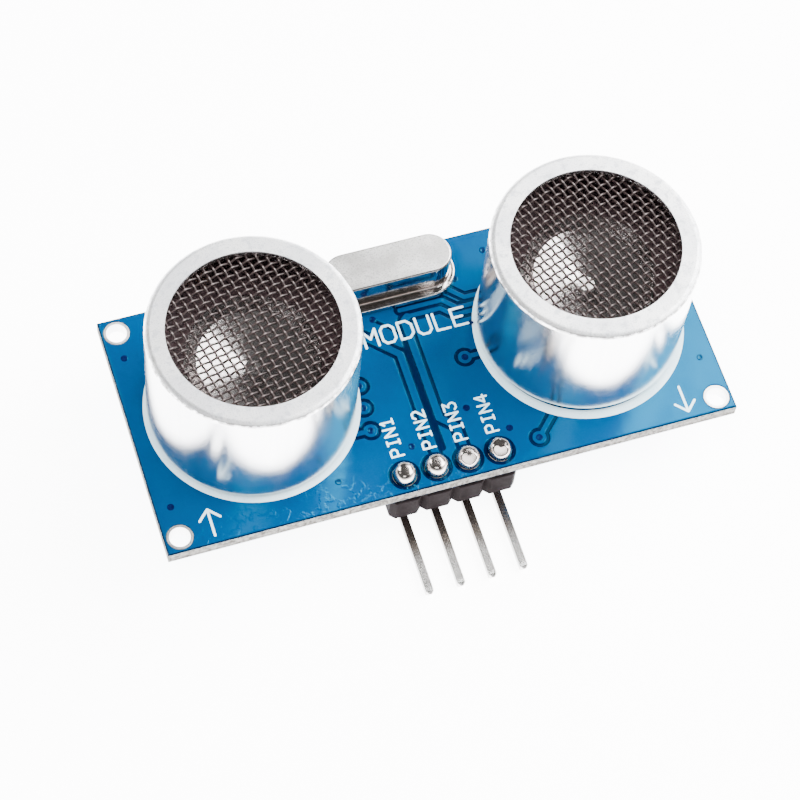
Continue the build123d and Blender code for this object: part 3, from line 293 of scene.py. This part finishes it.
def crystal_look():
    """Plated steel: matt and finely speckled on top, bright down the drawn side, with painted reflections:
    brown low on the wall and a thin dark line under the top.
    """
    look = Look("crystal_metal", Metallic=1.0)
    speckle = look.noise(0.13, 5.0, 0.65)
    clouds = look.noise(2.4, 4.0, 0.6)
    metal = look.mix(look.remap(clouds, 0.4, 0.6, 0, 1), (0.86, 0.85, 0.84), (0.62, 0.61, 0.595))
    metal = look.mix(look.remap(speckle, 0.5, 0.62, 0, 0.75), metal, (0.38, 0.37, 0.36))
    height = look.axis("Z")
    # Painted reflection: brown on the wall just above the weld.
    brown_reflection_foot = look.remap(height, (BOARD_FRONT + 0.62) * MM, (BOARD_FRONT + 0.70) * MM, 0.0, 0.85)
    brown_reflection_head = look.remap(height, (BOARD_FRONT + 1.0) * MM, (BOARD_FRONT + 1.7) * MM, 1.0, 0.0, smooth=True)
    metal = look.mix(look.both(brown_reflection_foot, brown_reflection_head), metal, (0.34, 0.27, 0.24))
    # Darker blotches on the flange.
    flange = look.remap(height, (BOARD_FRONT + 0.64) * MM, (BOARD_FRONT + 0.68) * MM, 1.0, 0.0)
    flange_blotches = look.remap(look.noise(0.25, 5.0, 0.7, stretch=(0.5, 0.5, 3)), 0.45, 0.6, 0.0, 0.7)
    metal = look.mix(look.both(flange, flange_blotches), metal, (0.26, 0.235, 0.22))
    # Painted reflection: a thin dark line just under the top, where the rounded edge would mirror dark
    # surroundings.
    dark_line_reflection_foot = look.remap(height, (CRYSTAL_TOP - 0.17) * MM, (CRYSTAL_TOP - 0.13) * MM, 0.0, 0.85)
    dark_line_reflection_head = look.remap(height, (CRYSTAL_TOP - 0.02) * MM, (CRYSTAL_TOP - 0.002) * MM, 1.0, 0.0)
    metal = look.mix(look.both(dark_line_reflection_foot, dark_line_reflection_head), metal, (0.10, 0.085, 0.08))
    look.set(Base_Color=metal)
    on_top = look.remap(height, (CRYSTAL_TOP - 0.05) * MM, CRYSTAL_TOP * MM, 0.0, 1.0)
    look.set(Roughness=look.blend(on_top, 0.10, 0.3))
    look.set(Normal=look.bump(speckle, 0.003))
    return look.material


def cone_look():
    """Spun aluminium with fine rings round the cone."""
    look = Look("cone_aluminium", Metallic=1.0)
    rings = look.noise(0.12, 3.0, stretch=(0.1, 0.1, 1))
    clouds = look.noise(1.2, 3.0)
    cloudy = look.remap(clouds, 0.35, 0.65, 0, 1)
    look.set(Base_Color=look.mix(cloudy, (0.80, 0.76, 0.75), (0.62, 0.58, 0.57)))
    look.set(Roughness=look.remap(rings, 0.3, 0.7, 0.14, 0.26))
    look.set(Normal=look.bump(rings, 0.01))
    return look.material


def pin_look():
    """Tinned brass: mottled, with a painted dark reflection of the header's plastic near the header, bright
    at the tips, duller on the sheared sides.
    """
    look = Look("tinned_pin", Metallic=1.0)
    grain = look.noise(0.14, 5.0, 0.65)
    clouds = look.noise(1.2, 3.0)
    base = look.mix(look.remap(grain, 0.4, 0.62, 0, 1), (0.76, 0.75, 0.74), (0.36, 0.345, 0.33))
    base = look.mix(look.remap(clouds, 0.35, 0.65, 0, 0.5), base, (0.40, 0.385, 0.37))
    along = look.axis("Y")
    # Painted reflection: the pin is dark brown near the header, where it would mirror the black plastic.
    plastic_reflection = look.remap(along, (PIN_TIP + 2.2) * MM, (PIN_TIP + 4.2) * MM, 0.0, 0.85, smooth=True)
    base = look.mix(plastic_reflection, base, (0.19, 0.15, 0.125))
    tips = look.remap(along, (PIN_TIP + 0.3) * MM, (PIN_TIP + 0.65) * MM, 0.8, 0.0)
    base = look.mix(tips, base, (0.92, 0.91, 0.90))
    sheared = look.remap(look.math("ABSOLUTE", look.facing("X")), 0.5, 0.9, 0.0, 0.7)
    look.set(Base_Color=look.mix(sheared, base, (0.22, 0.215, 0.21)))
    look.set(Roughness=look.remap(grain, 0.3, 0.7, 0.16, 0.32))
    look.set(Normal=look.bump(grain, 0.006))
    return look.material


def plastic_look(name, colour, pale, roughness, grain_mm, depth_mm, dust=0.0, gloss=0.5):
    """Moulded plastic or compound: fine grain, cloudy tone and a little dust."""
    look = Look(name, Specular_IOR_Level=gloss)
    grain = look.noise(grain_mm, 4.0)
    clouds = look.noise(grain_mm * 12, 3.0)
    base = look.mix(look.remap(clouds, 0.3, 0.7, 0, 1), colour, pale)
    if dust:
        specks = look.remap(look.noise(grain_mm * 2, 6.0, 0.75), 0.64, 0.74, 0.0, dust)
        base = look.mix(specks, base, (0.35, 0.33, 0.32))
    look.set(Base_Color=base)
    look.set(Roughness=look.remap(grain, 0.3, 0.7, roughness[0], roughness[1]))
    look.set(Normal=look.bump(grain, depth_mm))
    return look.material


def resistor_look():
    """Chip resistor: white alumina sides and a black glazed face."""
    look = Look("resistor_ceramic", Coat_Weight=0.4, Coat_Roughness=0.15)
    glazed = look.remap(look.facing("Z"), -0.8, -0.6, 1.0, 0.0)
    grain = look.noise(0.08, 4.0)
    black = look.mix(look.remap(grain, 0.3, 0.7, 0, 1), (0.012, 0.012, 0.014), (0.03, 0.03, 0.033))
    white = look.mix(look.remap(grain, 0.3, 0.7, 0, 1), (0.72, 0.71, 0.68), (0.60, 0.59, 0.56))
    look.set(Base_Color=look.mix(glazed, white, black))
    look.set(Roughness=look.remap(look.noise(0.4), 0.3, 0.7, 0.25, 0.45))
    look.set(Normal=look.bump(grain, 0.004))
    return look.material


def clear_look(name, tint, roughness):
    """Glass or quartz: clear, faintly tinted, with small seeds."""
    look = Look(name, IOR=1.5, Transmission_Weight=0.7)
    seeds = look.noise(0.2, 4.0)
    look.set(Base_Color=look.mix(look.remap(seeds, 0.4, 0.7, 0, 1), tint, tuple(c * 0.8 for c in tint)))
    look.set(Roughness=look.remap(seeds, 0.3, 0.7, roughness, roughness + 0.12))
    look.set(Normal=look.bump(seeds, 0.003))
    return look.material


TIN = (0.86, 0.86, 0.85)
TIN_DARK = (0.52, 0.51, 0.50)
looks = {
    "glass_epoxy_board": laminate_look(),
    "copper_foil": metal_look("copper_foil", (0.80, 0.42, 0.26), (0.55, 0.27, 0.16), (0.25, 0.4), 0.1),
    "blue_solder_mask": mask_look("front_mask", BOARD_FRONT - 0.045, BOARD_FRONT - 0.01),
    "tin_plating": metal_look(
        "tin_plating", (0.95, 0.94, 0.94), (0.82, 0.80, 0.80), (0.35, 0.5), 0.15, depth_mm=0.008
    ),
    "white_ink": ink_look(),
    "header_plastic": plastic_look(
        "header_plastic", (0.0078, 0.0058, 0.0063), (0.0125, 0.0100, 0.0106), (0.4, 0.6), 0.08, 0.004,
        dust=0.06, gloss=0.004
    ),
    "tinned_pin": pin_look(),
    "solder": metal_look(
        "solder", (0.68, 0.63, 0.60), (0.32, 0.27, 0.245), (0.12, 0.24), 0.3, depth_mm=0.004, spots=0.4
    ),
    "crystal_metal": crystal_look(),
    "seal_glass": clear_look("seal_glass", (0.30, 0.42, 0.38), 0.12),
    "spring_metal": metal_look("spring_metal", (0.74, 0.73, 0.70), (0.5, 0.49, 0.47), (0.25, 0.4), 0.1),
    "quartz": clear_look("quartz", (0.88, 0.90, 0.92), 0.05),
    "chip_plastic": plastic_look(
        "chip_plastic", (0.012, 0.012, 0.013), (0.024, 0.024, 0.026), (0.45, 0.65), 0.05, 0.006, dust=0.35
    ),
    "chip_lead_metal": metal_look("chip_lead_metal", TIN, TIN_DARK, (0.25, 0.42), 0.1, depth_mm=0.003),
    "resistor_ceramic": resistor_look(),
    "end_cap_tin": metal_look("end_cap_tin", TIN, TIN_DARK, (0.25, 0.45), 0.12, depth_mm=0.006, spots=0.3),
    "capacitor_ceramic": plastic_look(
        "capacitor_ceramic", (0.40, 0.27, 0.15), (0.50, 0.35, 0.21), (0.4, 0.6), 0.06, 0.004, dust=0.2
    ),
    "can_aluminium": can_look(),
    "screen_wire": wire_look(),
    "base_phenolic": plastic_look(
        "base_phenolic", (0.10, 0.060, 0.064), (0.14, 0.085, 0.09), (0.4, 0.6), 0.07, 0.005, dust=0.2
    ),
    "silicone": plastic_look("silicone", (0.62, 0.62, 0.60), (0.70, 0.70, 0.68), (0.45, 0.6), 0.2, 0.01),
    "disc_metal": metal_look(
        "disc_metal", (0.50, 0.48, 0.46), (0.30, 0.29, 0.28), (0.3, 0.5), 0.1, depth_mm=0.003
    ),
    "piezo_ceramic": plastic_look(
        "piezo_ceramic", (0.50, 0.47, 0.42), (0.60, 0.57, 0.52), (0.5, 0.7), 0.05, 0.003
    ),
    "cone_aluminium": cone_look(),
    "copper_wire": metal_look("copper_wire", (0.86, 0.50, 0.32), (0.6, 0.32, 0.2), (0.2, 0.35), 0.08),
}
back_mask = mask_look("back_mask", BOARD_BACK + 0.04, BOARD_BACK + 0.01)
slots = {entry["node"]: entry["material_slot"] for entry in frame["record"]["subparts"]}


# ---- CAD nodes that stay: welded, with small bevels that catch the light ----
BEVEL_ANGLE = 32
BEVELS_MM = {
    "front_solder_mask": 0.04,
    "back_solder_mask": 0.04,
    "header_housing": 0.06,
    "crystal_can": 0.05,
    "crystal_base": 0.05,
    "board_core": 0.03,
    "hole_plating": 0.015,
    "front_legend": 0.006,
    "resistor_bodies": 0.03,
    "resistor_end_caps": 0.04,
    "capacitor_bodies": 0.04,
    "capacitor_end_caps": 0.06,
    "transistor_body": 0.05,
    "transistor_leads": 0.03,
    "surface_solder": 0.03,
}
for name in slots:
    if name.startswith("header_pin_"):
        BEVELS_MM[name] = 0.04
    elif name.endswith("_chip_body"):
        BEVELS_MM[name] = 0.05
    elif name.endswith("_chip_leads"):
        BEVELS_MM[name] = 0.03


def finish_cad_node(name):
    """Give a CAD node its material and, where it has sharp edges, a fine bevel."""
    piece = nodes[name]
    material = back_mask if name == "back_solder_mask" else looks[slots[name]]
    for index in range(len(piece.material_slots)):
        piece.material_slots[index].material = material
    width = BEVELS_MM.get(name)
    if width:
        weld = piece.modifiers.new("weld", "WELD")
        weld.merge_threshold = WELD_DISTANCE * MM
        bevel = piece.modifiers.new("bevel", "BEVEL")
        bevel.width = width * MM
        bevel.segments = 2
        bevel.limit_method = "ANGLE"
        bevel.angle_limit = math.radians(BEVEL_ANGLE)
        bevel.harden_normals = True


for name in slots:
    finish_cad_node(name)


# ---- pieces made here ----
def new_piece(name, mesh_maker, slot, replaced=()):
    """Make a mesh object in millimetres, scale it to metres, give it its look and let it ride."""
    shape = bmesh.new()
    mesh_maker(shape)
    bmesh.ops.scale(shape, vec=(MM, MM, MM), verts=shape.verts)
    bmesh.ops.recalc_face_normals(shape, faces=shape.faces)
    mesh = bpy.data.meshes.new(name)
    shape.to_mesh(mesh)
    shape.free()
    for face in mesh.polygons:
        face.use_smooth = True
    piece = bpy.data.objects.new(name, mesh)
    bpy.context.scene.collection.objects.link(piece)
    piece.data.materials.append(looks[slot])
    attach(piece, "root")
    if replaced:
        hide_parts(*replaced)
    return piece


def join_rings(shape, rings):
    """Close the band between each ring of vertices and the next."""
    sides = len(rings[0])
    for first, second in zip(rings, rings[1:]):
        for k in range(sides):
            shape.faces.new((first[k], first[(k + 1) % sides], second[(k + 1) % sides], second[k]))


def add_tube(shape, points, radius, across, sides=7):
    """Sweep a round section along points; across is the level direction beside the wire."""
    rings = []
    for index, point in enumerate(points):
        ahead = points[min(index + 1, len(points) - 1)] - points[max(index - 1, 0)]
        up = ahead.normalized().cross(across)
        ring = []
        for k in range(sides):
            turn = 2 * math.pi * k / sides
            ring.append(shape.verts.new(point + radius * (math.cos(turn) * across + math.sin(turn) * up)))
        rings.append(ring)
    join_rings(shape, rings)
    shape.faces.new(rings[0])
    shape.faces.new(rings[-1])


# ---- transducer screens: two sets of wires that pass over and under each other ----
WEAVE_PITCH = (0.655, 0.548)
WEAVE_TURN = {"transmitter": 13.0, "receiver": 110.0}
WEAVE_WIRE_R = 0.09
WEAVE_R = 7.4
WEAVE_STEPS = 6


def woven_screen(side):
    """Return a mesh maker for one can's plain weave."""
    centre = Vector((can_centres[side].x, can_centres[side].y, SCREEN_TOP - 2 * WEAVE_WIRE_R))
    turn = Matrix.Rotation(math.radians(WEAVE_TURN[side]), 4, "Z")

    def make(shape):
        for along in (0, 1):
            spacing, crossing = WEAVE_PITCH[1 - along], WEAVE_PITCH[along]
            across = turn @ Vector((0, 1, 0) if along == 0 else (1, 0, 0))
            count = int(WEAVE_R / spacing)
            for index in range(-count, count + 1):
                aside = index * spacing
                reach = math.sqrt(WEAVE_R**2 - aside**2)
                steps = max(4, int(2 * reach / crossing * WEAVE_STEPS))
                points = []
                for step in range(steps + 1):
                    run = -reach + 2 * reach * step / steps
                    lift = WEAVE_WIRE_R * math.cos(math.pi * (run / crossing + index)) * (1 - 2 * along)
                    flat = Vector((run, aside, lift)) if along == 0 else Vector((aside, run, lift))
                    points.append(centre + turn @ flat)
                add_tube(shape, points, WEAVE_WIRE_R, across)

    return make


for side in ("transmitter", "receiver"):
    new_piece(f"{side}_woven_screen", woven_screen(side), "screen_wire", (f"{side}_screen",))


# ---- header joints ----
JOINT_R = 0.93
JOINT_TOP = BOARD_FRONT + 1.0
JOINT_FULLNESS = 0.52
JOINT_RINGS = 24
JOINT_SIDES = 56
JOINT_SUNK = 0.03
JOINT_FLATTENING = 0.9
JOINT_MERGE = 0.002
# Where a joint's top was cut or wetted flat: direction that the flat faces, and its depth below the dome.
JOINT_FLATS = [
    None,
    None,
    (Vector((-0.16, -0.45, 0.88)), 0.11),
    (Vector((-0.19, -0.49, 0.85)), 0.10),
]


def header_joints(shape):
    """Four solder domes that rise round the pin tips, two of them with a flat lower face."""
    foot = BOARD_FRONT - JOINT_SUNK
    rise = JOINT_TOP - foot
    for number, (pin, flat) in enumerate(zip(pin_centres, JOINT_FLATS)):
        rings = []
        for ring in range(JOINT_RINGS + 1):
            level = ring / JOINT_RINGS * math.pi / 2
            row = []
            for k in range(JOINT_SIDES):
                turn = 2 * math.pi * k / JOINT_SIDES
                wobble = 1 + 0.02 * math.sin(2 * turn + number) + 0.012 * math.sin(5 * turn + 2 * number)
                reach = JOINT_R * wobble * math.cos(level) ** JOINT_FULLNESS
                point = Vector((reach * math.cos(turn), reach * math.sin(turn), rise * math.sin(level)))
                if flat:
                    direction, depth = flat
                    direction = direction.normalized()
                    over = point.dot(direction) - (rise - depth)
                    if over > 0:
                        point -= JOINT_FLATTENING * over * direction
                row.append(shape.verts.new(point + Vector((pin.x, pin.y, foot))))
            rings.append(row)
        join_rings(shape, rings)
        shape.faces.new(rings[0])
    bmesh.ops.remove_doubles(shape, verts=shape.verts, dist=JOINT_MERGE)


new_piece("header_joints", header_joints, "solder", ("header_solder",))


# ---- vias: a dark dimple in the mask, with a soft raised ring round it ----
DIMPLE_R = 0.15
RING_R = 0.28
RING_RISE = 0.022
DIMPLE_SIDES = 28


def loose_centres_mm(node):
    """Return the middle of each separate piece of a node's mesh, in millimetres."""
    shape = bmesh.new()
    shape.from_mesh(nodes[node].data)
    shape.transform(nodes[node].matrix_world)
    bmesh.ops.remove_doubles(shape, verts=shape.verts, dist=WELD_DISTANCE * MM)
    waiting = set(shape.verts)
    centres = []
    while waiting:
        island = {waiting.pop()}
        frontier = list(island)
        while frontier:
            vertex = frontier.pop()
            for edge in vertex.link_edges:
                other = edge.other_vert(vertex)
                if other not in island:
                    island.add(other)
                    frontier.append(other)
        waiting -= island
        places = [vertex.co for vertex in island]
        centres.append(sum(places, Vector()) / len(places) / MM)
    shape.free()
    return centres


def via_dimples(shape):
    """A low dish at each via whose lip rises just above the mask."""
    profile = (
        (DIMPLE_R * 0.45, 0.002),
        (DIMPLE_R, 0.004),
        (0.5 * (DIMPLE_R + RING_R), RING_RISE),
        (RING_R, 0.001),
    )
    for centre in loose_centres_mm("via_plugs"):
        rings = []
        for reach, rise in profile:
            ring = []
            for k in range(DIMPLE_SIDES):
                turn = 2 * math.pi * k / DIMPLE_SIDES
                ring.append(shape.verts.new((
                    centre.x + reach * math.cos(turn),
                    centre.y + reach * math.sin(turn),
                    BOARD_FRONT + rise,
                )))
            rings.append(ring)
        join_rings(shape, rings)
        shape.faces.new(rings[0])


def dimple_look():
    """Deep blue film over a drilled hole, glossy and a little cloudy."""
    look = Look("via_dimple", **MASK_FILM)
    clouds = look.noise(0.2, 3.0)
    cloudy = look.remap(clouds, 0.3, 0.7, 0, 1)
    look.set(Base_Color=look.mix(cloudy, (0.002, 0.002, 0.028), (0.004, 0.008, 0.055)))
    look.set(Roughness=look.remap(clouds, 0.3, 0.7, 0.12, 0.2))
    look.set(Normal=look.bump(clouds, 0.008))
    return look.material


dimples = new_piece("via_dimples", via_dimples, "blue_solder_mask")
dimples.data.materials[0] = dimple_look()


# ---- stage: floor, soft light and the camera ----
def area_light(name, aim, distance_mm, azimuth, elevation, size_mm, power):
    """Place a square soft light that looks at a point, by direction and distance."""
    lamp = bpy.data.lights.new(name, "AREA")
    lamp.shape = "RECTANGLE"
    lamp.size = size_mm[0] * MM
    lamp.size_y = size_mm[1] * MM
    lamp.energy = power
    light = bpy.data.objects.new(name, lamp)
    a, e = math.radians(azimuth), math.radians(elevation)
    away = Vector((math.cos(a) * math.cos(e), math.sin(a) * math.cos(e), math.sin(e)))
    light.location = (Vector(aim) + away * distance_mm) * MM
    light.rotation_euler = (-away).to_track_quat("-Z", "Y").to_euler()
    bpy.context.scene.collection.objects.link(light)
    return light


FLOOR_SIZE = 3.0
FLOOR_GAP = 0.00002
FLOOR_GLOW = 9.0


def make_floor():
    """Lay a wide pale floor under the lowest point of the object."""
    floor_mesh = bpy.data.meshes.new("floor")
    shape = bmesh.new()
    bmesh.ops.create_grid(shape, x_segments=1, y_segments=1, size=FLOOR_SIZE)
    shape.to_mesh(floor_mesh)
    shape.free()
    floor = bpy.data.objects.new("floor", floor_mesh)
    floor.location.z = cad_box[0][2] - FLOOR_GAP
    bpy.context.scene.collection.objects.link(floor)
    look = Look("floor_paper", Specular_IOR_Level=0.2)
    look.set(Emission_Color=(1.0, 1.0, 1.0), Emission_Strength=FLOOR_GLOW)
    grain = look.noise(1.5, 3.0)
    look.set(Base_Color=look.mix(grain, (0.93, 0.93, 0.93), (0.95, 0.95, 0.95)))
    look.set(Roughness=look.remap(grain, 0.3, 0.7, 0.75, 0.9))
    floor.data.materials.append(look.material)


make_floor()

SKY_BRIGHT = Vector((0.95, 0.10, 0.15))
SKY_DIM = 0.14
SKY_LIT = 2.2
SKY_SEEN = 14.0
HORIZON = 3.0


def make_world():
    """Light the studio's air: brighter to the right and near the horizon, and plain white to the camera."""
    world = bpy.data.worlds.new("studio")
    bpy.context.scene.world = world
    world.use_nodes = True
    tree = world.node_tree

    def add(kind, inputs, output=0, settings=None):
        node = tree.nodes.new(kind)
        for key, value in (settings or {}).items():
            setattr(node, key, value)
        for key, value in inputs.items():
            if isinstance(value, bpy.types.NodeSocket):
                tree.links.new(value, node.inputs[key])
            else:
                node.inputs[key].default_value = value
        return node.outputs[output]

    def ramp(value, start, end, first, last):
        return add(
            "ShaderNodeMapRange",
            {0: value, 1: start, 2: end, 3: first, 4: last},
            settings={"interpolation_type": "SMOOTHSTEP"},
        )

    direction = add("ShaderNodeTexCoord", {}, "Generated")
    towards = add(
        "ShaderNodeVectorMath",
        {0: direction, 1: SKY_BRIGHT.normalized()},
        "Value",
        {"operation": "DOT_PRODUCT"},
    )
    sky = ramp(towards, 0.38, 0.75, SKY_DIM, SKY_LIT)
    horizon = ramp(add("ShaderNodeSeparateXYZ", {0: direction}, "Z"), 0.12, 0.42, HORIZON, 0.0)
    studio = add("ShaderNodeMath", {0: sky, 1: horizon}, settings={"operation": "ADD"})
    camera_ray = add("ShaderNodeLightPath", {}, "Is Camera Ray")
    strength = add("ShaderNodeMix", {"Factor": camera_ray, 2: studio, 3: SKY_SEEN})
    background = tree.nodes["Background"]
    background.inputs["Color"].default_value = (1.0, 1.0, 1.0, 1.0)
    tree.links.new(strength, background.inputs["Strength"])


make_world()

area_light("key_softbox", (0, 0, 5), 300, 12, 48, (300, 195), 3.4)
overhead = area_light("overhead_fill", (0, 0, 5), 320, 200, 72, (250, 250), 2.0)
overhead.visible_glossy = False
area_light("front_card", (0, -5, 2), 300, -108, 57, (90, 90), 0.16)

CAMERA_AIM = (-2.2, -2.55, BOARD_FRONT)
CAMERA_DISTANCE = 213.1
CAMERA_AZIMUTH = -24.7
CAMERA_ELEVATION = 62.1
CAMERA_ROLL = 7.77
CAMERA_LENS = 125.0


def make_camera():
    """Stand the camera off the board's middle, looking down at the front with a small roll."""
    camera = bpy.data.objects.new("camera", bpy.data.cameras.new("camera"))
    bpy.context.scene.collection.objects.link(camera)
    camera.data.lens = CAMERA_LENS
    camera.data.sensor_width = 36.0
    camera.data.clip_start = 0.01
    azimuth, elevation = math.radians(CAMERA_AZIMUTH), math.radians(CAMERA_ELEVATION)
    away = Vector((
        math.sin(azimuth) * math.cos(elevation),
        -math.cos(azimuth) * math.cos(elevation),
        math.sin(elevation),
    ))
    camera.location = (Vector(CAMERA_AIM) + away * CAMERA_DISTANCE) * MM
    level = (-away).to_track_quat("-Z", "Y").to_matrix()
    camera.rotation_euler = (level @ Matrix.Rotation(math.radians(CAMERA_ROLL), 3, "Z")).to_euler()
    bpy.context.scene.camera = camera


make_camera()
